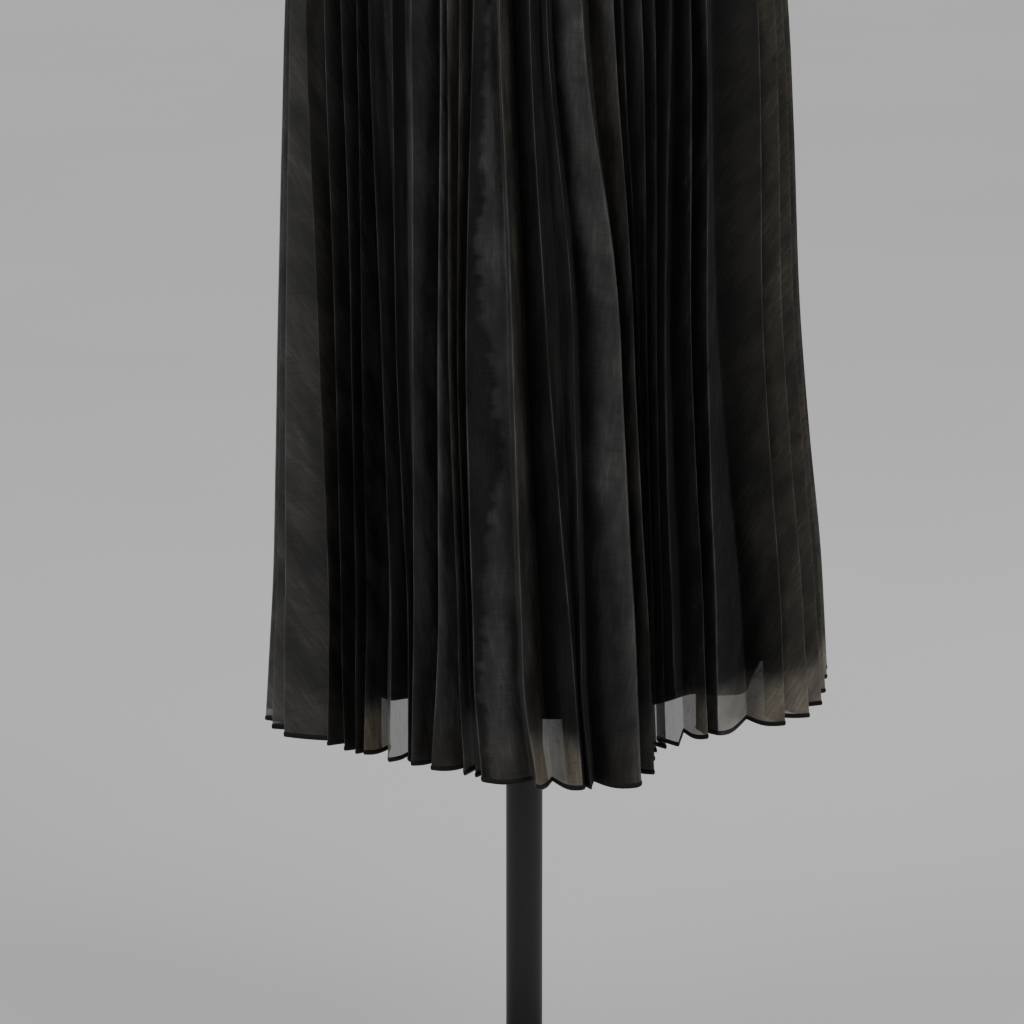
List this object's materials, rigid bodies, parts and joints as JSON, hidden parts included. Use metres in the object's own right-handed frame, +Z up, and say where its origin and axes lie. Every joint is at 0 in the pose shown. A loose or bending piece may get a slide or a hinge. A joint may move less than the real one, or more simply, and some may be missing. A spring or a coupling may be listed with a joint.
{
  "type": "pleated maxi skirt on a dress form",
  "caption": "Long black skirt of sheer accordion-pleated organza over an opaque lining, worn by a limbless dress form on a round-based pole stand.",
  "frame": {"origin": "centre of the stand's foot plate on the floor, on the axis of the pole", "axes": "+Z up along the pole, -Y toward the skirt's front, +X toward the wearer's left"},
  "size_m": [0.5402, 0.5253, 1.8333],
  "materials": {
    "organza": "sheer crisp silk organza, pressed in accordion pleats",
    "lining": "opaque smooth lining cloth",
    "waistband": "folded elasticated band, softly ribbed",
    "form_cover": "natural linen cover stretched over a smooth form",
    "black_metal": "black satin paint"
  },
  "bodies": {
    "root": {"skirt_front": "organza", "skirt_back": "organza", "lining_front": "lining", "lining_back": "lining", "waistband": "waistband", "dress_form": "form_cover", "neck_cap": "black_metal", "form_flange": "black_metal", "pole": "black_metal", "pole_foot": "black_metal", "stand_base": "black_metal"}
  },
  "joints": []
}
